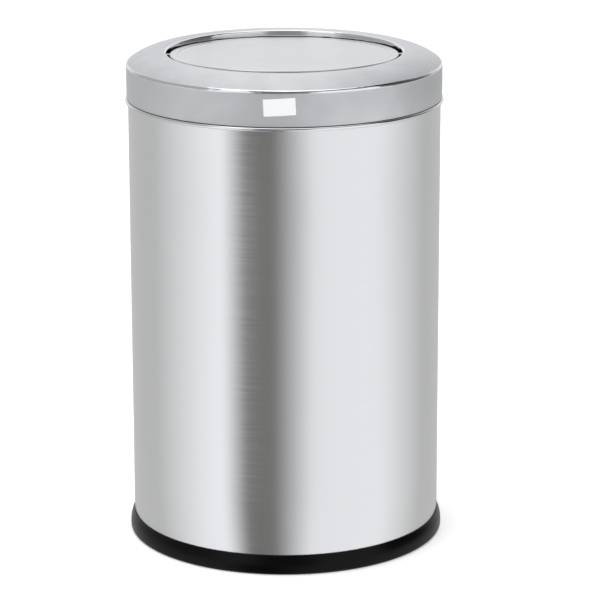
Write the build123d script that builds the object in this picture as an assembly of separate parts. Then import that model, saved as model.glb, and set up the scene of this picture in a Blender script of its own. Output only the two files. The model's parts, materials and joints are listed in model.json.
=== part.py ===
from build123d import *
import os
from math import atan, cos, degrees, radians, sin

# A round steel bin on a moulded base ring, with a lift-off lid and a flap that swings on two pins.
# Millimetres. The origin is on the floor, under the middle of the bin. +Z is up, and the front,
# where the label is, looks along -Y. The pins lie along X.

# Body
body_radius = 148.6       # outside of the steel cylinder
body_height = 428.3       # floor to the top of the curled bead
sheet = 0.8               # steel sheet of the body, lid and flap
bead_diameter = 3.6       # outside of the curl at the top edge
bead_turn = 290.0         # degrees that the edge is curled through
seam_width = 10.0         # lap that closes the cylinder, up the back
seam_proud = 0.4
seam_end_gap = 1.5        # lap to the base ring below and to the bead above

# Bottom and base ring
floor_height = 14.0       # top of the steel bottom
flange_depth = 10.0       # turned-down edge of the bottom
flange_bend = 2.4         # outside radius of that bend
weld_gap = 0.05           # between faces that are welded together
ring_height = 18.6
ring_web = 3.0            # thickness under the body's edge
ring_overhang = 4.0       # widest point, outside the body
ring_foot_round = 3.5
ring_band = 2.0           # upright stretch at the widest point
ring_lip = 0.9            # thickness left at the top edge
ring_lip_round = 0.4
ring_inner_wall = 2.5
ring_fit = 0.1            # slot to the steel on each side

# Lid
seat_gap = 0.3            # skirt to bead
skirt_set_out = 0.4       # outside of the skirt, past the bead's crest
skirt_height = 31.6
corner_round = 2.5
dome_slope = 38.0         # steepness of the ring just above the corner, in degrees
hole_slope = 14.0         # steepness just before the rim of the hole, in degrees
rim_round = 1.8
crest_set_back = 7.5      # edge of the hole to where the ring is highest
hole_radius = 111.7
neck_depth = 12.0         # straight stretch turned down round the hole

# Ring that centres the lid in the body
locating_sheet = 1.0
locating_gap = 0.5        # between it and the body
locating_reach = 16.0     # below the top of the bead
lead_in_height = 3.0
lead_in_depth = 1.0
joggle_start = 5.5        # above the skirt's edge
joggle_height = 2.5
joggle_bend = 1.5
locating_band = 10.0      # height welded to the skirt

# Label
label_width = 29.4
label_height = 15.6
label_thickness = 0.25
label_turn = -1.7         # round the lid from the front, in degrees
label_rise = 18.6         # its middle, above the skirt's edge
label_tilt = 3.2          # right end up, in degrees

# Flap
flap_gap = 3.2            # all round, to the neck
flap_tilt = 1.8           # how far its front edge hangs up at rest, in degrees
axis_below_crest = 4.5
rim_width = 7.5           # flat rim outside the dish
dish_depth = 6.0
crease_bend = 4.0
flap_edge_round = 1.6
hem_depth = 4.5           # height of the turned-down edge

# Pins, and the plates that bear them
pin_radius = 1.2
pin_fit = 0.05            # radial clearance in the plate
neck_clearance = 0.4      # radial clearance in the neck
hem_clearance = 0.1       # radial clearance in the notch in the flap's edge
notch_setback = 0.1       # start of the notch, outside the start of the edge's bend
pin_tail = 1.0            # past the ear that holds it, inside
pin_end = 1.5             # past the plate
plate_sheet = 1.2
plate_width = 10.0
plate_gap = 0.2           # to the neck
plate_above_axis = 2.3
plate_bend = 2.4          # outside radius
stop_depth = 26.0         # top of the stop tab, below the axis
stop_reach = 10.4         # tab's length from the plate's outer face

# Strap and counterweight
strap_sheet = 1.5
strap_width = 20.0
strap_gap = 0.1           # to the flap
strap_bend = 3.0          # outside radius
strap_inset = 1.0         # its ends, inside the flap's turned-down edge
weight_length = 80.0
weight_width = 24.0
weight_height = 9.0
weight_offset = 0.56      # off centre, which is what tips the flap
stud_radius = 2.5
stud_spacing = 56.0
stud_end = 1.0            # past the nut
stud_hole_clearance = 0.3
washer_radius = 5.0
washer_thickness = 1.0
nut_across_flats = 8.0
nut_height = 4.0

# Places that several pieces share
body_inside = body_radius - sheet
bead_crest_radius = body_inside + bead_diameter / 2
lid_radius = bead_crest_radius + skirt_set_out
skirt_bottom = body_height + seat_gap
skirt_inside = lid_radius - sheet
crest_radius = hole_radius + crest_set_back
dome_radius = (
    lid_radius - crest_radius - corner_round * (1 - sin(radians(dome_slope)))
) / sin(radians(dome_slope))
rim_arc_radius = (
    crest_set_back - rim_round * (1 - sin(radians(hole_slope)))
) / sin(radians(hole_slope))
crest_height = (
    skirt_bottom + skirt_height + corner_round * cos(radians(dome_slope))
    + dome_radius * (1 - cos(radians(dome_slope)))
)
axis_height = crest_height - axis_below_crest
flap_radius = hole_radius - flap_gap
flap_above_axis = pin_radius + hem_clearance
notch_start = flap_radius - flap_edge_round + notch_setback
crease_radius = flap_radius - rim_width
plate_inside = hole_radius + sheet + plate_gap
ear_outside = flap_radius - sheet - strap_inset
ear_top = flap_above_axis - sheet - strap_gap
strap_top = ear_top - dish_depth


def chain(start, heading, *steps):
    """Joins runs and turns end to end: a step is one length, or a turn's radius and its degrees."""
    point = Vector(*start)
    direction = Vector(cos(radians(heading)), sin(radians(heading)))
    path = Curve()
    for step in steps:
        if len(step) == 1:
            piece = Line(point, point + direction * step[0])
        else:
            piece = JernArc(point, direction, step[0], step[1])
        path += piece
        point = piece @ 1
        direction = piece % 1
    return path


def turned(profile):
    """Turns a profile of radius and height round the bin's axis."""
    return revolve(Plane.XZ * profile, Axis.Z)


def rod(radius, start, end):
    """A round bar along X."""
    middle = Pos((start + end) / 2, 0, 0)
    return middle * Rot(Y=90) * Cylinder(radius, abs(end - start))


def make_body_shell():
    wall = body_radius - sheet / 2
    curl = bead_diameter / 2
    path = chain(
        (wall, ring_web + ring_fit), 90,
        (body_height - curl - ring_web - ring_fit,),
        (curl - sheet / 2, -bead_turn),
    )
    shell = turned(trace(path, sheet))
    lap_bottom = ring_height + seam_end_gap
    lap_top = body_height - bead_diameter - seam_end_gap
    lap = Cylinder(body_radius + seam_proud, lap_top - lap_bottom)
    lap -= Cylinder(body_radius - sheet / 2, lap_top - lap_bottom)
    lap &= Pos(0, body_radius, 0) * Box(seam_width, body_radius, lap_top - lap_bottom)
    return shell + Pos(0, 0, (lap_bottom + lap_top) / 2) * lap


def make_bottom_pan():
    flange = body_inside - weld_gap - sheet / 2
    bend = flange_bend - sheet / 2
    path = chain(
        (0, floor_height - sheet / 2), 0,
        (flange - bend,), (bend, -90), (flange_depth - flange_bend,),
    )
    return turned(trace(path, sheet))


def make_base_ring():
    widest = body_radius + ring_overhang
    slot_outside = body_radius + ring_fit
    slot_inside = body_inside - weld_gap - sheet - ring_fit
    inside = slot_inside - ring_inner_wall
    wall_top = floor_height - sheet - ring_fit
    bend_clearance = flange_bend - sheet
    lip = slot_outside + ring_lip
    band_top = ring_foot_round + ring_band
    outline = Line((inside, 0), (widest - ring_foot_round, 0))
    outline += JernArc((widest - ring_foot_round, 0), (1, 0), ring_foot_round, 90)
    outline += Line((widest, ring_foot_round), (widest, band_top))
    flare = TangentArc((widest, band_top), (lip, ring_height - ring_lip_round), tangent=(0, 1))
    outline += flare
    outline += Polyline(
        (lip, ring_height - ring_lip_round), (lip - ring_lip_round, ring_height),
        (slot_outside, ring_height), (slot_outside, ring_web), (slot_inside, ring_web),
        (slot_inside, wall_top - bend_clearance), (slot_inside - bend_clearance, wall_top),
        (inside, wall_top), (inside, 0),
    )
    return turned(make_face(outline))


def make_lid_shell():
    path = chain(
        (lid_radius - sheet / 2, skirt_bottom), 90,
        (skirt_height,),
        (corner_round - sheet / 2, 90 - dome_slope),
        (dome_radius - sheet / 2, dome_slope),
        (rim_arc_radius - sheet / 2, hole_slope),
        (rim_round - sheet / 2, 90 - hole_slope),
        (neck_depth,),
    )
    shell = turned(trace(path, sheet))
    reach = plate_inside
    return shell - Pos(0, 0, axis_height) * rod(pin_radius + neck_clearance, -reach, reach)


def make_locating_ring():
    low = body_inside - locating_gap - locating_sheet / 2
    high = skirt_inside - weld_gap - locating_sheet / 2
    bottom = body_height - locating_reach
    joggle = skirt_bottom + joggle_start
    path = FilletPolyline(
        (low - lead_in_depth, bottom),
        (low, bottom + lead_in_height),
        (low, joggle),
        (high, joggle + joggle_height),
        (high, joggle + joggle_height + locating_band),
        radius=joggle_bend,
    )
    return turned(trace(path, locating_sheet))


def make_label():
    outside = Cylinder(lid_radius + label_thickness, 2 * label_height)
    sleeve = outside - Cylinder(lid_radius, 2 * label_height)
    patch = Pos(0, -lid_radius, 0) * Rot(Y=-label_tilt) * Box(label_width, label_width, label_height)
    return Pos(0, 0, skirt_bottom + label_rise) * Rot(Z=label_turn) * (sleeve & patch)


def make_hinge_plate(side):
    upright = plate_inside + plate_sheet / 2
    top = axis_height + plate_above_axis
    tab = axis_height - stop_depth - plate_sheet / 2
    path = FilletPolyline(
        (upright, top), (upright, tab), (plate_inside + plate_sheet - stop_reach, tab),
        radius=plate_bend - plate_sheet / 2,
    )
    plate = extrude(Plane.XZ * trace(path, plate_sheet), plate_width / 2, both=True)
    bore = rod(pin_radius + pin_fit, plate_inside - 1, plate_inside + plate_sheet + 1)
    plate -= Pos(0, 0, axis_height) * bore
    return plate if side > 0 else mirror(plate, Plane.YZ)


def make_flap_skin():
    rise = 2 * atan(dish_depth / crease_radius)
    dish = crease_radius / sin(rise) - crease_bend
    path = chain(
        (0, flap_above_axis - sheet / 2 - dish_depth), 0,
        (dish, degrees(rise)),
        (crease_bend, -degrees(rise)),
        (rim_width - flap_edge_round,),
        (flap_edge_round - sheet / 2, -90),
        (hem_depth - flap_edge_round,),
    )
    skin = turned(trace(path, sheet))
    for side in (-1, 1):
        skin -= rod(flap_above_axis, side * notch_start, side * flap_radius)
    return skin


def make_flap_strap():
    ear = ear_outside - strap_sheet / 2
    middle = strap_top - strap_sheet / 2
    path = FilletPolyline(
        (-ear, ear_top), (-ear, middle), (ear, middle), (ear, ear_top),
        radius=strap_bend - strap_sheet / 2,
    )
    strap = extrude(Plane.XZ * trace(path, strap_sheet), strap_width / 2, both=True)
    return strap - rod(pin_radius, -flap_radius, flap_radius)


def make_pivot_pin(side):
    tail_start = ear_outside - strap_sheet - pin_tail
    pin = rod(pin_radius, tail_start, plate_inside + plate_sheet + pin_end)
    flat = 2 * (notch_start + hem_clearance - tail_start)
    pin -= Pos(tail_start, 0, ear_top + pin_radius) * Box(flat, 2 * pin_radius, 2 * pin_radius)
    return pin if side > 0 else mirror(pin, Plane.YZ)


def make_counterweight():
    middle = strap_top - strap_sheet - weight_height / 2
    block = Pos(0, weight_offset, middle) * Box(weight_length, weight_width, weight_height)
    for x in (-stud_spacing / 2, stud_spacing / 2):
        hole = Cylinder(stud_radius + stud_hole_clearance, weight_height)
        block -= Pos(x, 0, middle) * hole
    return block


def on_studs(piece, top):
    """Puts a piece that is centred on its own height under each end of the counterweight."""
    middle = top - piece.bounding_box().size.Z / 2
    return Part() + [Pos(side * stud_spacing / 2, 0, middle) * piece for side in (-1, 1)]


def make_stud():
    return Cylinder(stud_radius, weight_height + washer_thickness + nut_height + stud_end)


def make_washer():
    return Cylinder(washer_radius, washer_thickness) - Cylinder(
        stud_radius + stud_hole_clearance, washer_thickness
    )


def make_nut():
    hexagon = RegularPolygon(nut_across_flats / 2, 6, major_radius=False)
    return extrude(hexagon, nut_height / 2, both=True) - Cylinder(stud_radius, nut_height)


weight_top = strap_top - strap_sheet
weight_bottom = weight_top - weight_height

fixed_pieces = {
    "body_shell": make_body_shell(),
    "bottom_pan": make_bottom_pan(),
    "base_ring": make_base_ring(),
    "lid_shell": make_lid_shell(),
    "lid_locating_ring": make_locating_ring(),
    "label": make_label(),
    "hinge_plate_left": make_hinge_plate(-1),
    "hinge_plate_right": make_hinge_plate(1),
}

# These are made level round the pins' axis, then hung in the lid at their resting tilt.
flap_pieces = {
    "flap_skin": make_flap_skin(),
    "flap_strap": make_flap_strap(),
    "pivot_pin_left": make_pivot_pin(-1),
    "pivot_pin_right": make_pivot_pin(1),
    "counterweight": make_counterweight(),
    "counterweight_studs": on_studs(make_stud(), weight_top),
    "counterweight_washers": on_studs(make_washer(), weight_bottom),
    "counterweight_nuts": on_studs(make_nut(), weight_bottom - washer_thickness),
}
hung = Pos(0, 0, axis_height) * Rot(X=-flap_tilt)

os.makedirs("parts", exist_ok=True)
for name, piece in fixed_pieces.items():
    export_step(piece, f"parts/{name}.step")
for name, piece in flap_pieces.items():
    export_step(hung * piece, f"parts/{name}.step")

print("lid radius", round(lid_radius, 2), "crest height", round(crest_height, 2))
print("pin axis height", round(axis_height, 2), "flap radius", round(flap_radius, 2))
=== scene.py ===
# %% [markdown]
# A round swing-lid bin in brushed stainless steel, finished for a studio picture.
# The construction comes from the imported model: every piece below is placed by it. What shows most,
# which is the body, the lid, the flap and the base ring, is modelled again here from finer rings,
# because polished steel shows every facet. The small hardware keeps its meshes and gets its finish.

# %% The frame
import bpy
import json
from math import acos, asin, atan, ceil, cos, degrees, pi, radians, sin
from mathutils import Matrix, Vector


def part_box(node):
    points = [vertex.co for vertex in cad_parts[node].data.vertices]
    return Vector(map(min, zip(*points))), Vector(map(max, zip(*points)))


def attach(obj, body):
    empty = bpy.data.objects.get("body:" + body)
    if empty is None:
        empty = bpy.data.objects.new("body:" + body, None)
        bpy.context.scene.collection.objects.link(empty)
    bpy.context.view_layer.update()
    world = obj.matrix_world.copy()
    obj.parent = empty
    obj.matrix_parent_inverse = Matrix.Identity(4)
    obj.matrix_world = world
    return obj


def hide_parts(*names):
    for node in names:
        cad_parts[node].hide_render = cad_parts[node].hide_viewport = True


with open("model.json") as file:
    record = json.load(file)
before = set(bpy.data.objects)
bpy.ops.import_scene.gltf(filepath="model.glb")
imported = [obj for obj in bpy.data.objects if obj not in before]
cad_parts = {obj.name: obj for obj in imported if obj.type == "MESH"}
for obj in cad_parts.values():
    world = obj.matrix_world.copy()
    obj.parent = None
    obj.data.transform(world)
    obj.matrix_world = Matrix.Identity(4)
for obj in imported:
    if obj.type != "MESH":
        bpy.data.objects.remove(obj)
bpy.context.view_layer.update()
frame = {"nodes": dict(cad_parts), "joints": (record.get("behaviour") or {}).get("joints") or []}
scene = bpy.context.scene
nodes = frame["nodes"]
print("nodes:", sorted(nodes))

# %% [markdown]
# Lengths are in metres, and one millimetre is the handy unit for sheet metal. The model's boxes
# give the places: where the lid starts, how high the bead is, how wide the flap is. Only what a box
# can't say, such as the sheet's thickness or the radius of a bend, is written out.

# %% Sizes
MM = 0.001
SHEET = 0.8 * MM
HALF_SHEET = SHEET / 2
BEAD = 3.6 * MM              # outside of the curl round the body's mouth
BEAD_TURN = 290.0            # degrees that the edge is curled through

body_low, body_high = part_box("body_shell")
lid_low, lid_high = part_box("lid_shell")
ring_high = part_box("base_ring")[1]
body_radius = body_high.x - BEAD + SHEET
lid_radius = lid_high.x
flap_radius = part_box("flap_skin")[1].x
axis_height = next(j["pos_m"][2] for j in frame["joints"] if j["name"] == "flap_swing")
print("body radius mm", round(body_radius / MM, 2), "lid radius mm", round(lid_radius / MM, 2))
print("flap radius mm", round(flap_radius / MM, 2), "axis height mm", round(axis_height / MM, 2))

# %% [markdown]
# ## How turned sheet is modelled
# A bin is all rings: a strip of steel that is rolled, curled and pressed is the same all the way
# round. It could be a profile that is spun about the axis, or a stack of cylinders. Here one circle
# of edges is pulled from ring to ring, the way a potter draws up a wall: extrude the circle, move
# it up, scale it about the axis, and again. It needs no merging afterwards, and the rings fall just
# where the profile bends.
#
# The profile is written as a bending plan: a starting point, a heading, then runs and turns. Each
# turn is cut into steps short enough that no chord strays from the arc by more than a few microns.

# %% A bending plan, and the circle that follows it
SECTIONS = 288               # edges round the axis
CHORD_ERROR = 0.006 * MM
MERGE_DISTANCE = 0.001 * MM
CUT_EDGE_ROUND = 0.15 * MM
CUT_EDGE_ANGLE = 60          # degrees; a cut edge is sharper than this, and a bend isn't


def plan(start, heading, *moves):
    """Points (radius, height) along runs (length,) and turns (radius, degrees; left is positive)."""
    points = [Vector(start)]
    angle = radians(heading)
    for move in moves:
        if len(move) == 1:
            points.append(points[-1] + Vector((cos(angle), sin(angle))) * move[0])
            continue
        bend, turn = move[0], radians(move[1])
        steps = ceil(abs(turn) / (2 * acos(1 - CHORD_ERROR / bend)))
        side = 1 if turn > 0 else -1
        centre = points[-1] + Vector((-sin(angle), cos(angle))) * bend * side
        for step in range(1, steps + 1):
            now = angle + turn * step / steps
            points.append(centre - Vector((-sin(now), cos(now))) * bend * side)
        angle += turn
    return points


def start_clean():
    """An operator acts on all that is selected, so nothing is selected before a piece is started."""
    if bpy.context.mode != "OBJECT":
        bpy.ops.object.mode_set(mode="OBJECT")
    bpy.ops.object.select_all(action="DESELECT")


def pick(piece):
    """Leaves the piece as the only one selected, and as the active one."""
    start_clean()
    piece.select_set(True)
    bpy.context.view_layer.objects.active = piece


def edit(piece):
    pick(piece)
    bpy.ops.object.mode_set(mode="EDIT")
    bpy.ops.mesh.select_all(action="SELECT")


def turned(name, points, to_centre=False, closed=False):
    """Pulls a circle of edges along the points; it may end on the axis, or where it began."""
    start_clean()
    radius, height = points[0]
    bpy.ops.mesh.primitive_circle_add(vertices=SECTIONS, radius=radius, location=(0, 0, height))
    piece = bpy.context.object
    piece.name = piece.data.name = name
    bpy.ops.object.transform_apply(location=True, rotation=False, scale=False)
    edit(piece)
    for new_radius, new_height in points[1:]:
        lift = {"value": (0, 0, new_height - height)}
        bpy.ops.mesh.extrude_edges_move(TRANSFORM_OT_translate=lift)
        grow = new_radius / radius
        bpy.ops.transform.resize(value=(grow, grow, 1), center_override=(0, 0, new_height))
        radius, height = new_radius, new_height
    if to_centre:
        bpy.ops.mesh.merge(type="CENTER")
    bpy.ops.mesh.select_all(action="SELECT")
    if closed:
        bpy.ops.mesh.remove_doubles(threshold=MERGE_DISTANCE)
    bpy.ops.mesh.normals_make_consistent(inside=False)
    bpy.ops.object.mode_set(mode="OBJECT")
    return piece


def apply_modifier(piece, kind, **settings):
    pick(piece)
    modifier = piece.modifiers.new(kind.lower(), kind)
    for setting, value in settings.items():
        setattr(modifier, setting, value)
    bpy.ops.object.modifier_apply(modifier=modifier.name)


def break_edges(piece, width, sharper_than):
    """Rounds every edge that is sharper than the angle, as a deburring wheel does."""
    angle = radians(sharper_than)
    apply_modifier(piece, "BEVEL", width=width, segments=2, limit_method="ANGLE", angle_limit=angle)


def thicken(piece, thickness=SHEET, edge_round=CUT_EDGE_ROUND):
    """Gives a bent sheet its thickness, half to each side, and breaks its cut edges."""
    apply_modifier(piece, "SOLIDIFY", thickness=thickness, offset=0, use_even_offset=True)
    break_edges(piece, edge_round, CUT_EDGE_ANGLE)


def smooth(piece, sharp_from=50):
    pick(piece)
    bpy.ops.object.shade_smooth_by_angle(angle=radians(sharp_from))


def report(piece):
    spreads = [[vertex.co[axis] for vertex in piece.data.vertices] for axis in range(3)]
    size = [round((max(spread) - min(spread)) / MM, 2) for spread in spreads]
    top = round(max(spreads[2]) / MM, 2)
    print(piece.name, "faces", len(piece.data.polygons), "size mm", size, "top mm", top)


# %% [markdown]
# ## The body
# The body is a strip of stainless sheet rolled into a cylinder and closed by a lapped seam at the
# back. Its top edge is curled outwards into a bead, which stiffens the mouth and is what the lid
# sits on. The curl could be a plain torus laid on the edge, but a real one is a turn of 290
# degrees. It stops just short of the wall and leaves the dark line that is seen under a curled
# edge, so the sheet is bent that far here too.

# %% Rolled body with its curled bead
WALL_RINGS = 6

curl = (BEAD - SHEET) / 2
wall = body_radius - HALF_SHEET
curl_start = body_high.z - BEAD / 2
wall_height = curl_start - body_low.z

body_plan = [
    Vector((wall, body_low.z + wall_height * ring / WALL_RINGS)) for ring in range(WALL_RINGS)
]
body_plan += plan((wall, curl_start), 90, (curl, -BEAD_TURN))
body = turned("steel_body", body_plan)
thicken(body)
report(body)

# %% [markdown]
# The seam is a lap: the sheet's end lies over its start, welded along the edge. It could be a box
# laid on the wall, but a flat box would stand off a curved wall. So it is a narrow strip, made by
# sweeping one upright edge round the axis for the width of the lap, then giving it thickness. It is
# joined to the wall, because on the real body it is the same sheet.

# %% Lapped seam up the back
SEAM_WIDTH = 10 * MM
SEAM_PROUD = 0.4 * MM
SEAM_END_GAP = 1.5 * MM      # to the base ring below, and to the bead above
SEAM_STEPS = 8
SEAM_EDGE_ROUND = 0.12 * MM

seam_bottom = ring_high.z + SEAM_END_GAP
seam_top = body_high.z - BEAD - SEAM_END_GAP
seam_half_turn = asin(SEAM_WIDTH / 2 / body_radius)


def upright_strip(name, radius, low, high, half_turn, steps):
    """One upright edge, swept round the axis, centred at the back."""
    start_clean()
    bpy.ops.mesh.primitive_plane_add(size=1)
    strip = bpy.context.object
    strip.name = strip.data.name = name
    edit(strip)
    bpy.ops.mesh.merge(type="CENTER")
    start = Vector((radius * sin(half_turn), radius * cos(half_turn), low))
    bpy.ops.transform.translate(value=start)
    bpy.ops.mesh.extrude_vertices_move(TRANSFORM_OT_translate={"value": (0, 0, high - low)})
    bpy.ops.mesh.select_all(action="SELECT")
    bpy.ops.mesh.spin(steps=steps, angle=2 * half_turn, center=(0, 0, 0), axis=(0, 0, 1))
    bpy.ops.mesh.select_all(action="SELECT")
    bpy.ops.mesh.remove_doubles(threshold=MERGE_DISTANCE)
    bpy.ops.mesh.normals_make_consistent(inside=False)
    bpy.ops.object.mode_set(mode="OBJECT")
    return strip


seam = upright_strip("seam", body_radius, seam_bottom, seam_top, seam_half_turn, SEAM_STEPS)
thicken(seam, thickness=2 * SEAM_PROUD, edge_round=SEAM_EDGE_ROUND)
report(seam)

pick(body)
seam.select_set(True)
bpy.ops.object.join()
smooth(body)
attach(body, "can")
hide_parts("body_shell")
report(body)

# %% [markdown]
# ## The base ring
# The body stands in a ring moulded in black polypropylene, so that no steel edge meets the floor.
# It has a slot for the body's edge, a foot with a rounded toe, and a wall that leans in to a thin
# lip against the steel. It could be a torus that is flattened, or two tubes and a disc, but the
# section is what makes it a moulding. A moulding is a closed shape, so the circle is pulled all the
# way round its section and back to where it began.

# %% Moulded base ring
WEB = 3.0 * MM               # under the body's edge
FOOT_ROUND = 3.5 * MM
BAND = 2.0 * MM              # upright stretch at the widest point
LIP = 0.9 * MM
LIP_ROUND = 0.4 * MM
SLOT_FIT = 0.1 * MM
WELD_GAP = 0.05 * MM
INNER_WALL = 2.5 * MM
INNER_WALL_CHAMFER = 1.6 * MM
MOULD_ROUND = 0.2 * MM       # no moulded edge is quite sharp

slot_outside = body_radius + SLOT_FIT
slot_inside = body_radius - 2 * SHEET - WELD_GAP - SLOT_FIT
ring_inside = slot_inside - INNER_WALL
inner_wall_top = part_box("bottom_pan")[1].z - SHEET - SLOT_FIT
widest = ring_high.x


def flare(start, end):
    """The arc that leaves the start straight up and runs through the end."""
    across, up = end[0] - start[0], end[1] - start[1]
    bend = (across ** 2 + up ** 2) / (2 * abs(across))
    return bend, degrees(asin(up / bend))


band_top = FOOT_ROUND + BAND
lip_start = ring_high.z - LIP_ROUND
flare_bend, flare_turn = flare((widest, band_top), (slot_outside + LIP, lip_start))
ring_plan = plan(
    (ring_inside, 0), 0,
    (widest - FOOT_ROUND - ring_inside,), (FOOT_ROUND, 90), (BAND,), (flare_bend, flare_turn),
)
ring_plan += plan((slot_outside + LIP, lip_start), 90, (LIP_ROUND, 90), (LIP - LIP_ROUND,))[1:]
ring_plan += [
    Vector(point) for point in (
        (slot_outside, WEB), (slot_inside, WEB),
        (slot_inside, inner_wall_top - INNER_WALL_CHAMFER),
        (slot_inside - INNER_WALL_CHAMFER, inner_wall_top),
        (ring_inside, inner_wall_top), (ring_inside, 0),
    )
]
base = turned("plastic_base_ring", ring_plan, closed=True)
break_edges(base, MOULD_ROUND, 50)
smooth(base, sharp_from=60)
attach(base, "can")
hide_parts("base_ring")
report(base)

# %% [markdown]
# ## The lid
# The lid is one pressing: an upright skirt, a tight corner, a ring that swells like a shallow dome,
# and a neck that is turned down round the hole. The highest point of the ring is a little outside
# the hole, so that the rim rolls over softly. The corner and the rim could be bevels on a plain
# profile, but they catch the light as thin bright and dark lines, which are what makes pressed
# steel look pressed. So each bend is an arc of its own radius that runs into the next one.

# %% Pressed lid
CORNER_ROUND = 3.5 * MM
DOME_SLOPE = 38.0            # steepness just above the corner, in degrees
HOLE_SLOPE = 14.0            # steepness just before the rim, in degrees
RIM_ROUND = 1.8 * MM
NECK_DEPTH = 12.0 * MM
SKIRT_LIFT = 0.35 * MM       # the skirt's edge hangs clear of the bead, and shows as a dark line
FLAP_GAP = 3.2 * MM
CREST_SET_BACK = 7.5 * MM    # edge of the hole to the highest point

hole_radius = flap_radius + FLAP_GAP
crest_radius = hole_radius + CREST_SET_BACK


def arc_radius(across, end_round, slope):
    """Radius of an arc that ends level and, at its steep end, meets a rounding of end_round."""
    return (across - end_round * (1 - sin(radians(slope)))) / sin(radians(slope))


dome = arc_radius(lid_radius - crest_radius, CORNER_ROUND, DOME_SLOPE)
rim_arc = arc_radius(CREST_SET_BACK, RIM_ROUND, HOLE_SLOPE)
corner_turn = 90 - DOME_SLOPE
corner_rise = (CORNER_ROUND - HALF_SHEET) * sin(radians(corner_turn))
dome_rise = (dome - HALF_SHEET) * (1 - cos(radians(DOME_SLOPE)))
skirt_low = lid_low.z + SKIRT_LIFT
skirt_high = lid_high.z - HALF_SHEET - dome_rise - corner_rise
half_skirt = (skirt_high - skirt_low) / 2
lid_plan = plan(
    (lid_radius - HALF_SHEET, skirt_low), 90,
    (half_skirt,), (half_skirt,), (CORNER_ROUND - HALF_SHEET, corner_turn),
    (dome - HALF_SHEET, DOME_SLOPE), (rim_arc - HALF_SHEET, HOLE_SLOPE),
    (RIM_ROUND - HALF_SHEET, 90 - HOLE_SLOPE), (NECK_DEPTH,),
)
lid = turned("steel_lid", lid_plan)
thicken(lid)
report(lid)
print("lid top wanted mm", round(lid_high.z / MM, 3))

# %% [markdown]
# The pins pass through the neck in two holes. The faces there could be cut and joined by hand, but
# a hole in a thin wall is easiest cut with a round bar as the tool and a Boolean modifier. The bar
# is deleted afterwards.

# %% Pin holes in the neck
PIN_RADIUS = 1.2 * MM
NECK_CLEARANCE = 0.4 * MM
BAR_INSIDE = 1 * MM          # how far the bar reaches past the wall that it drills
BAR_OUTSIDE = 2 * MM
BAR_SIDES = 32


def cut_across(piece, radius, height, start, end):
    """Drills along X from start to end, on both sides of the axis."""
    for side in (-1, 1):
        start_clean()
        bpy.ops.mesh.primitive_cylinder_add(
            vertices=BAR_SIDES, radius=radius, depth=end - start,
            location=(side * (start + end) / 2, 0, height), rotation=(0, pi / 2, 0),
        )
        bar = bpy.context.object
        apply_modifier(piece, "BOOLEAN", operation="DIFFERENCE", object=bar, solver="EXACT")
        bpy.data.objects.remove(bar)


neck_hole = PIN_RADIUS + NECK_CLEARANCE
cut_across(lid, neck_hole, axis_height, hole_radius - BAR_INSIDE, hole_radius + BAR_OUTSIDE)
smooth(lid)
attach(lid, "lid")
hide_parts("lid_shell")
report(lid)

# %% [markdown]
# ## The flap
# The flap is a round pressing with a flat rim, a shallow dish inside a soft crease, and an edge
# that is turned down. It could be a flattened sphere cut off by a disc, but then the crease would
# be a hard corner. The same bending plan draws it in one go, from the foot of its edge, over the
# rim and down the dish to the middle. It is modelled level about its own axis, where the pins run,
# so that the notches for the pins can be cut straight.

# %% Dished flap
RIM_WIDTH = 7.5 * MM
DISH_DEPTH = 6.0 * MM
CREASE_BEND = 4.0 * MM
EDGE_ROUND = 1.0 * MM
HEM_DEPTH = 4.5 * MM
HEM_LEAN = 12.0              # degrees that the turned-down edge leans in, clear of the neck
HEM_CLEARANCE = 0.1 * MM
NOTCH_START = 1.5 * MM       # the pin's notch is cut from this far inside the flap's edge
NOTCH_END = 1 * MM           # to this far outside it
DISH_RINGS = 14
LAST_RING = 0.004            # of the dish's radius; what is inside it is drawn to a point

above_axis = PIN_RADIUS + HEM_CLEARANCE
crease_radius = flap_radius - RIM_WIDTH
rise = 2 * atan(DISH_DEPTH / crease_radius)
dish = crease_radius / sin(rise) - CREASE_BEND


def dish_height(radius):
    return above_axis - HALF_SHEET - DISH_DEPTH + dish - (dish ** 2 - radius ** 2) ** 0.5


lean = radians(HEM_LEAN)
hem = HEM_DEPTH - EDGE_ROUND
edge_bend = EDGE_ROUND - HALF_SHEET
hem_foot = (
    flap_radius - HALF_SHEET - hem * sin(lean) - edge_bend * (1 - cos(lean)),
    above_axis - HALF_SHEET - hem * cos(lean) - edge_bend * (1 + sin(lean)),
)
flap_plan = plan(
    hem_foot, 90 - HEM_LEAN,
    (hem,), (edge_bend, 90 + HEM_LEAN), (RIM_WIDTH - EDGE_ROUND,), (CREASE_BEND, degrees(rise)),
)
dish_edge = flap_plan[-1].x
for ring in range(1, DISH_RINGS):
    radius = dish_edge * (1 - ring / DISH_RINGS)
    flap_plan.append(Vector((radius, dish_height(radius))))
flap_plan.append(Vector((dish_edge * LAST_RING, dish_height(0))))
flap = turned("steel_flap", flap_plan, to_centre=True)
thicken(flap)
cut_across(flap, above_axis, 0, flap_radius - NOTCH_START, flap_radius + NOTCH_END)
report(flap)

# %% [markdown]
# On the real bin the flap hangs on its pins, and the counterweight under it holds its front edge a
# little high. It could be parented to an empty at the pins and turned there. Here the move and the
# tilt are applied to the mesh, because the model's joint turns the piece from where it lies at rest.

# %% Hung in the hole
FLAP_TILT = 1.78             # degrees, front edge up

pick(flap)
flap.location = (0, 0, axis_height)
flap.rotation_euler = (-radians(FLAP_TILT), 0, 0)
bpy.ops.object.transform_apply(location=True, rotation=True, scale=False)
smooth(flap)
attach(flap, "flap")
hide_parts("flap_skin")
report(flap)

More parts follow.
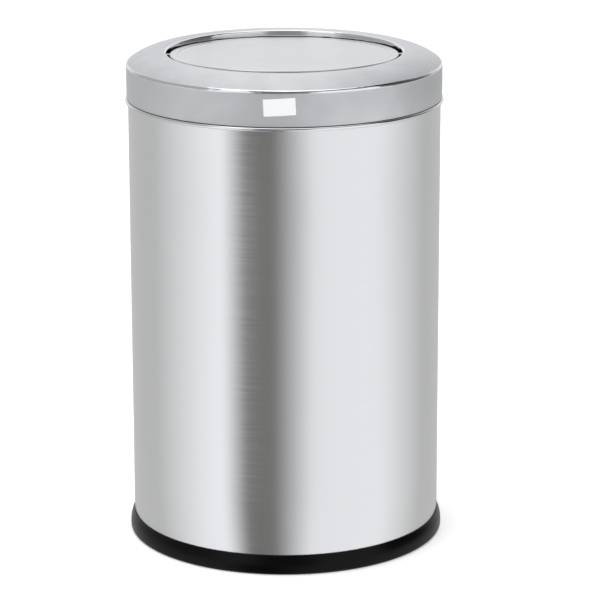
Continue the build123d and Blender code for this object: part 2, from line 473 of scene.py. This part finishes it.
# %% [markdown]
# ## Finishes
# A finish is a Principled shader fed by patterns in real millimetres. The nodes could be laid out
# by hand in the shader editor, and each helper below does one thing that a hand would do there: it
# adds a node with its settings and links, so that a material reads from top to bottom. Colours are
# written as the sRGB hex values that a colour picker shows, and one function turns them to the
# linear values that light is computed in.

# %% Colour and node helpers
MOST_OF_NOISE = (0.3, 0.7)   # nearly all values of a noise texture lie between these


def colour(hex_code):
    """sRGB hex to linear."""
    values = [int(hex_code[i:i + 2], 16) / 255 for i in (1, 3, 5)]
    linear = [v / 12.92 if v <= 0.04045 else ((v + 0.055) / 1.055) ** 2.4 for v in values]
    return (*linear, 1.0)


def add(tree, kind, inputs=None, **settings):
    """Adds a node, sets its properties, and gives its inputs values or other nodes' outputs."""
    made = tree.nodes.new(kind)
    for setting, value in settings.items():
        setattr(made, setting, value)
    for socket, value in (inputs or {}).items():
        if isinstance(value, bpy.types.NodeSocket):
            tree.links.new(value, made.inputs[socket])
        else:
            made.inputs[socket].default_value = value
    return made


def calculate(tree, operation, *values):
    return add(tree, "ShaderNodeMath", dict(enumerate(values)), operation=operation).outputs[0]


def remap(tree, value, low, high, to_low=0.0, to_high=1.0, **settings):
    """Carries a value from one span to another, held at its ends."""
    spans = {"Value": value, "From Min": low, "From Max": high, "To Min": to_low, "To Max": to_high}
    return add(tree, "ShaderNodeMapRange", spans, **settings).outputs[0]


def mix_colours(tree, factor, first, second, **settings):
    """A Mix node has sockets for each type of value: 6, 7 and output 2 are those for colours."""
    inputs = {0: factor, 6: first, 7: second}
    return add(tree, "ShaderNodeMix", inputs, data_type="RGBA", **settings).outputs[2]


def mix_values(tree, factor, first, second):
    inputs = {0: factor, 2: first, 3: second}
    return add(tree, "ShaderNodeMix", inputs, data_type="FLOAT").outputs[0]


def ramp(tree, factor, stops):
    """A colour ramp: stops are (place, linear colour)."""
    made = add(tree, "ShaderNodeValToRGB", {"Fac": factor})
    elements = made.color_ramp.elements
    while len(elements) < len(stops):
        elements.new(0.5)
    for element, (place, value) in zip(elements, stops):
        element.position = place
        element.color = value
    return made.outputs["Color"]


def noise(tree, place, scale, detail, roughness, **settings):
    inputs = {"Vector": place, "Scale": scale, "Detail": detail, "Roughness": roughness}
    return add(tree, "ShaderNodeTexNoise", inputs, **settings).outputs["Fac"]


def relief(tree, height, depth, strength=1.0, over=None, **settings):
    """A bump: height from nought to one stands for the depth, on top of what is over it."""
    inputs = {"Strength": strength, "Distance": depth, "Height": height}
    if over is not None:
        inputs["Normal"] = over
    return add(tree, "ShaderNodeBump", inputs, **settings).outputs[0]


def fresh_material(name):
    made = bpy.data.materials.new(name)
    made.use_nodes = True
    made.node_tree.nodes.clear()
    return made, made.node_tree


def finish(piece, made):
    """Puts one material on the whole piece."""
    piece.data.materials.clear()
    piece.data.materials.append(made)
    for face in piece.data.polygons:
        face.material_index = 0
    print(piece.name, "is finished in", made.name)


# %% [markdown]
# ### Brushed stainless
# Stainless sheet for household goods is ground with a belt along the strip, which leaves fine lines
# round the rolled body. They could be modelled as a picture of scratches. Here they are noise that
# is long round the bin and short across it, so that they fit any size. Real lines are a tenth of a
# millimetre apart or less, finer than the picture's own dots, so they are drawn coarser here: 0.8
# to 0.9 mm apart.
#
# Lines that run round the bin scatter light up and down, so each reflection is drawn out into an
# upright band while its sides stay fairly crisp. That is the Principled shader's anisotropy with a
# radial tangent, turned a quarter so that the stretch runs along the height.
#
# Where the press has dragged the sheet over a tight bend, the satin is ironed out and the steel is
# almost a mirror. Those zones are rings, so each is given as a span of radius or of height, and
# there the roughness drops. They draw the crisp bright and dark lines at the lid's corner, its rim
# and the bead. The flap's crease is such a ring too, pressed in a little.

# %% Brushed stainless
LINE_TONE = 0.97             # how dark the bottom of a grinding line is, against its crest
LINE_ROUGHNESS = 0.03        # swing of the roughness from line to line
ROUGHNESS_SPAN = (0.25, 0.75)
LINE_DEPTH = 0.02 * MM
LINE_BUMP = 0.25             # how strongly the lines show in satin, and where it is ironed out
IRONED_LINE_BUMP = 0.03
CLOUD_SIZE = 22 * MM         # patches where the belt has pressed a little harder
EDGE_OF_ZONE = 0.5 * MM
POLISHED = 0.06              # roughness where the press has ironed the satin out
GROOVE_DEPTH = 0.3 * MM
HALF_GROOVE = 0.3 * MM
QUARTER_TURN = 0.25          # of a full turn, as the shader counts it


def cylinder_place(tree):
    """Where a point is, told as a turned piece wants it: angle, radius and height."""
    place = add(tree, "ShaderNodeTexCoord").outputs["Object"]
    straight = add(tree, "ShaderNodeSeparateXYZ", {"Vector": place}).outputs
    turn = calculate(tree, "ARCTAN2", straight["Y"], straight["X"])
    flat = add(tree, "ShaderNodeCombineXYZ", {"X": straight["X"], "Y": straight["Y"]}).outputs[0]
    out = add(tree, "ShaderNodeVectorMath", {0: flat}, operation="LENGTH").outputs["Value"]
    return {"place": place, "turn": turn, "radius": out, "height": straight["Z"]}


def zones(tree, at, spans):
    """One inside any of the spans, nought outside, with a soft edge."""
    inside = 0.0
    for measure, low, high in spans:
        away = calculate(tree, "SUBTRACT", at[measure], (low + high) / 2)
        away = calculate(tree, "ABSOLUTE", away)
        half_span = (high - low) / 2
        here = remap(tree, away, half_span, half_span + EDGE_OF_ZONE, 1.0, 0.0)
        inside = calculate(tree, "MAXIMUM", inside, here)
    return inside


def grinding_lines(tree, at, spacing, length):
    """Noise drawn out round the bin; on a level face the lines follow the radius instead."""
    along = calculate(tree, "MULTIPLY", at["turn"], body_radius / length)
    climb = calculate(tree, "SUBTRACT", at["height"], at["radius"])
    across = calculate(tree, "MULTIPLY", climb, 1 / spacing)
    strokes = add(tree, "ShaderNodeCombineXYZ", {"X": along, "Y": across}).outputs[0]
    return noise(tree, strokes, 1.0, 3.0, 0.6, noise_dimensions="2D")


def brushed_steel(
    name, tint, roughness, stretch, spacing, length, mottle=0, uneven=0, ironed=(), grooves=(),
):
    made, tree = fresh_material(name)
    at = cylinder_place(tree)
    lines = grinding_lines(tree, at, spacing, length)
    polish = zones(tree, at, ironed + grooves)

    smoothest, roughest = roughness - LINE_ROUGHNESS, roughness + LINE_ROUGHNESS
    satin = remap(tree, lines, *ROUGHNESS_SPAN, smoothest, roughest)
    normal = None
    if mottle:
        clouds = noise(tree, at["place"], 1 / CLOUD_SIZE, 2.0, 0.5)
        swing = remap(tree, clouds, *MOST_OF_NOISE, -mottle, mottle)
        satin = calculate(tree, "ADD", satin, swing)
    if uneven:
        normal = relief(tree, clouds, uneven)
    if grooves:
        sunk = zones(tree, at, grooves)
        normal = relief(tree, sunk, GROOVE_DEPTH, over=normal, invert=True)
    line_bump = remap(tree, polish, 0.0, 1.0, LINE_BUMP, IRONED_LINE_BUMP)

    shade = remap(tree, lines, *MOST_OF_NOISE, LINE_TONE, 1.0)
    shader = add(tree, "ShaderNodeBsdfPrincipled", {
        "Base Color": mix_colours(tree, 1.0, colour(tint), shade, blend_type="MULTIPLY"),
        "Metallic": 1.0,
        "Roughness": mix_values(tree, polish, satin, POLISHED),
        "Anisotropic": stretch,
        "Anisotropic Rotation": QUARTER_TURN,
        "Normal": relief(tree, lines, LINE_DEPTH, line_bump, over=normal),
        "Tangent": add(tree, "ShaderNodeTangent", direction_type="RADIAL", axis="Z").outputs[0],
    })
    add(tree, "ShaderNodeOutputMaterial", {"Surface": shader.outputs[0]})
    return made


bead = ("height", body_high.z - BEAD, body_high.z)
corner = ("height", skirt_high, skirt_high + corner_rise)
neck_and_rim = ("radius", 0, hole_radius + RIM_ROUND)
crease = ("radius", crease_radius - HALF_GROOVE, crease_radius + HALF_GROOVE)

body_steel = brushed_steel(
    "belt_ground_stainless_body", "#DCDDDE", roughness=0.22, stretch=0.6,
    spacing=0.9 * MM, length=60 * MM, ironed=(bead,),
)
lid_steel = brushed_steel(
    "satin_stainless_lid", "#E2E3E5", roughness=0.68, stretch=0.3,
    spacing=0.8 * MM, length=40 * MM, mottle=0.05, uneven=1.0 * MM, ironed=(corner, neck_and_rim),
)
flap_steel = brushed_steel(
    "satin_stainless_flap", "#DCDDDE", roughness=0.36, stretch=0.3,
    spacing=0.8 * MM, length=40 * MM, mottle=0.03, grooves=(crease,),
)
finish(body, body_steel)
finish(lid, lid_steel)
finish(flap, flap_steel)

# %% [markdown]
# ### Plastic, film, paint and plate
# The rest of the bin is plain stuff: moulded polypropylene, a vinyl sticker, steel as it comes from
# the mill, drawn pins, dipped paint and zinc plate. Each could be one flat colour, which looks
# like a drawing. So a fine grain stirs the tone, the roughness and the relief of each a little.

# %% Moulded plastic, film, paint and plate
GRAIN_ROUGHNESS = 0.04       # swing of the roughness from grain to grain
GRAIN_DEPTH = 0.01 * MM
GRAIN_BUMP = 0.4


def plain_finish(
    name, tint, roughness, metallic=0.0, grain=0.5 * MM, tone_swing=0.08, gloss=0.5,
):
    made, tree = fresh_material(name)
    place = add(tree, "ShaderNodeTexCoord").outputs["Object"]
    grains = noise(tree, place, 1 / grain, 3.0, 0.55)
    dark, light = (
        [min(1, part * swing) for part in colour(tint)[:3]] + [1.0]
        for swing in (1 - tone_swing, 1 + tone_swing)
    )
    smoothest, roughest = roughness - GRAIN_ROUGHNESS, roughness + GRAIN_ROUGHNESS
    shader = add(tree, "ShaderNodeBsdfPrincipled", {
        "Base Color": ramp(tree, grains, list(zip(MOST_OF_NOISE, (dark, light)))),
        "Metallic": metallic,
        "Roughness": remap(tree, grains, *MOST_OF_NOISE, smoothest, roughest),
        "Normal": relief(tree, grains, GRAIN_DEPTH, GRAIN_BUMP),
        "Specular IOR Level": gloss,
    })
    add(tree, "ShaderNodeOutputMaterial", {"Surface": shader.outputs[0]})
    return made


base_plastic = plain_finish("moulded_polypropylene_black", "#030304", 0.28, gloss=0.13)
label_film = plain_finish("vinyl_film_white", "#FAFBFC", 0.35, tone_swing=0.01)
mill_steel = plain_finish("mill_finish_steel", "#B9B8B4", 0.42, metallic=1.0, grain=1.5 * MM)
pin_steel = plain_finish("drawn_bright_steel", "#C9C8C6", 0.2, metallic=1.0)
weight_paint = plain_finish("dipped_black_paint", "#17181A", 0.38)
zinc_plate = plain_finish("zinc_plate", "#BDBFB8", 0.35, metallic=1.0, grain=2 * MM)

finish(base, base_plastic)
finish(nodes["label"], label_film)
finish(nodes["counterweight"], weight_paint)
for name in ("bottom_pan", "lid_locating_ring", "hinge_plate_left", "hinge_plate_right", "flap_strap"):
    finish(nodes[name], mill_steel)
for name in ("pivot_pin_left", "pivot_pin_right"):
    finish(nodes[name], pin_steel)
for name in ("counterweight_studs", "counterweight_washers", "counterweight_nuts"):
    finish(nodes[name], zinc_plate)

# %% [markdown]
# ## The studio
# Polished steel has hardly any colour of its own: what is seen in it is the studio. So the light is
# built as a photographer would build it for this bin. It could be lamps and cards in the scene, but
# cards end somewhere and their ends show in a mirror this tall. All of it is drawn on the world
# instead, in five storeys that each have bands by compass direction, so every reflection runs
# straight from top to bottom.
#
# Lowest is the table, pale at both sides with a darker stretch in front. Above it is the room, with
# a soft light at each side of the camera and the white backdrop behind the bin. Then comes a gap
# that is dark in front and at the right, which the backdrop and a narrow card at the left reach up
# into. Over that are the soft lights, and on top is a plain ceiling. The body looks down at the
# table and the flap at the backdrop. Each tight bend of the lid runs through all the storeys, so it
# shows a bright line beside a dark one.

# %% Light tent
TENT_STRENGTH = 1.06
WARM_BLUE = 0.94             # share of blue in the dark of the room, and in lit paper
COOL_BLUE = 1.02

# Bearings are in degrees from the camera's side towards +X, each with the light's level there.
TABLE = [
    (-180, 0.57), (-112, 0.61), (-66, 1.06), (-47, 1.14), (-29, 0.18), (-8, 0.21), (20, 1.02),
    (80, 1.06), (124, 0.60), (180, 0.55),
]
ROOM = [
    (-180, 0.92), (-158, 0.88), (-146, 0.82), (-132, 0.45), (-60, 0.45), (-50, 1.05), (-26, 1.05),
    (-18, 0.26), (16, 0.26), (26, 1.05), (70, 1.05), (78, 0.10), (118, 0.10), (146, 0.82),
    (158, 0.88), (180, 0.92),
]
DARK_GAP = [
    (-180, 1.10), (-150, 1.05), (-130, 0.60), (-62, 0.40), (-52, 1.3), (-38, 1.3), (-30, 0.02),
    (125, 0.02), (150, 1.00), (180, 1.10),
]
SOFT_LIGHTS = [
    (-180, 1.12), (-110, 1.40), (-80, 2.0), (-30, 1.75), (80, 1.5), (110, 1.1), (180, 1.12),
]
CEILING = [(-180, 1.12), (180, 1.12)]
# Above the table, each storey fades in from one elevation to the other, in degrees.
STOREYS = [(ROOM, -9, -2), (DARK_GAP, 33, 38), (SOFT_LIGHTS, 55, 61), (CEILING, 82, 89)]

studio = bpy.data.worlds.new("light_tent")
scene.world = studio
studio.use_nodes = True
tent_tree = studio.node_tree
tent_tree.nodes.clear()
direction = add(tent_tree, "ShaderNodeTexCoord").outputs["Generated"]
heading = add(tent_tree, "ShaderNodeSeparateXYZ", {"Vector": direction}).outputs
towards_camera = calculate(tent_tree, "MULTIPLY", heading["Y"], -1.0)
bearing = calculate(tent_tree, "ARCTAN2", heading["X"], towards_camera)
elevation = calculate(tent_tree, "ARCSINE", heading["Z"])
round_the_tent = remap(tent_tree, bearing, -pi, pi)


def daylight(level):
    """Lit paper is a little cool and the dark of the room a little warm."""
    blue = WARM_BLUE + (COOL_BLUE - WARM_BLUE) * min(level, 1)
    return (level, level, level * blue, 1.0)


def bands(levels):
    stops = [((around + 180) / 360, daylight(level)) for around, level in levels]
    return ramp(tent_tree, round_the_tent, stops)


tent = bands(TABLE)
for levels, low, high in STOREYS:
    above = remap(
        tent_tree, elevation, radians(low), radians(high), interpolation_type="SMOOTHSTEP"
    )
    tent = mix_colours(tent_tree, above, tent, bands(levels))

seen_directly = add(tent_tree, "ShaderNodeLightPath").outputs["Is Camera Ray"]
glow = add(tent_tree, "ShaderNodeBackground", {"Color": tent, "Strength": TENT_STRENGTH})
white = add(tent_tree, "ShaderNodeBackground", {"Color": (1, 1, 1, 1), "Strength": 1.0})
both = add(
    tent_tree, "ShaderNodeMixShader",
    {0: seen_directly, 1: glow.outputs[0], 2: white.outputs[0]},
)
add(tent_tree, "ShaderNodeOutputWorld", {"Surface": both.outputs[0]})
print("storeys of the tent:", 1 + len(STOREYS))

# %% [markdown]
# The bin stands on a roll of matt white paper, which takes its soft shadow. It could be modelled
# with its sweep up behind the bin, but a plane that is wide enough ends beyond the picture. A
# photographer lights the paper from beside the bin until it is white. Here the paper shines a
# little for the camera alone, so that no more light falls on the bin. The steel doesn't mirror it,
# because the tent's table already stands for it.

# %% Floor
FLOOR_SIZE = 30.0
FLOOR_LIFT = 0.36

start_clean()
bpy.ops.mesh.primitive_plane_add(size=FLOOR_SIZE)
floor = bpy.context.object
floor.name = "floor"
floor.visible_glossy = False
paper, paper_tree = fresh_material("matt_white_paper")
diffuse = add(paper_tree, "ShaderNodeBsdfDiffuse", {"Color": colour("#FAFAFA")})
seen_from_camera = add(paper_tree, "ShaderNodeLightPath").outputs["Is Camera Ray"]
shine = calculate(paper_tree, "MULTIPLY", seen_from_camera, FLOOR_LIFT)
lift = add(paper_tree, "ShaderNodeEmission", {"Color": (1, 1, 1, 1), "Strength": shine})
total = add(paper_tree, "ShaderNodeAddShader", {0: diffuse.outputs[0], 1: lift.outputs[0]})
add(paper_tree, "ShaderNodeOutputMaterial", {"Surface": total.outputs[0]})
finish(floor, paper)

# %% [markdown]
# The tent alone would leave paint, plastic and paper too dark, because its dark bands are only
# there to be mirrored. The whole tent could be turned up, but then the steel would burn out. Two
# large soft lamps make up for it instead. Neither is mirrored by the steel.

# %% Soft lamps
MIDDLE = (0, 0, 0.3)


def soft_lamp(name, size, watts, place, target=MIDDLE):
    lamp = bpy.data.lights.new(name, "AREA")
    lamp.shape = "DISK"
    lamp.size = size
    lamp.energy = watts
    lamp_object = bpy.data.objects.new(name, lamp)
    lamp_object.location = place
    aim = Vector(target) - Vector(place)
    lamp_object.rotation_euler = aim.to_track_quat("-Z", "Y").to_euler()
    lamp_object.visible_glossy = False
    scene.collection.objects.link(lamp_object)
    print(name, "is", round(aim.length, 2), "m from the bin")


soft_lamp("overhead_softbox", size=1.6, watts=6.0, place=(-0.6, -0.5, 2.6))
soft_lamp("front_fill", size=1.4, watts=12.0, place=(0.5, -2.4, 1.5))

# %% [markdown]
# ## The camera
# The photograph was taken from a little above with a long lens. The camera could be set by eye, but
# a round bin gives it away: how open each ring looks says how steeply it is seen, and how the rings
# change with height says from how far. The pitch, the distance and the lens come from fitting the
# outlines of the rings, and the picture's centre needs no shift.

# %% Camera
CAMERA_BACK = 2.7327
CAMERA_UP = 0.96872
PITCH = radians(15.1877)
YAW = radians(0.3031)
ROLL = radians(-0.1214)
SENSOR_WIDTH = 36.0
FOCAL_LENGTH = 175.3

view = bpy.data.cameras.new("camera")
view.sensor_width = SENSOR_WIDTH
view.lens = FOCAL_LENGTH
camera = bpy.data.objects.new("camera", view)
turns = Matrix.Rotation(-YAW, 3, "Z")
turns = turns @ Matrix.Rotation(pi / 2 - PITCH, 3, "X")
turns = turns @ Matrix.Rotation(ROLL, 3, "Z")
camera.rotation_euler = turns.to_euler()
camera.location = (0, -CAMERA_BACK, CAMERA_UP)
scene.collection.objects.link(camera)
scene.camera = camera
print("camera angle of view, degrees:", round(degrees(view.angle), 2))

# %% [markdown]
# A film-like view would soften the whites, which suits a landscape. A catalogue picture needs its
# white paper white, so the colours go to the screen as they are.

scene.view_settings.view_transform = "Standard"
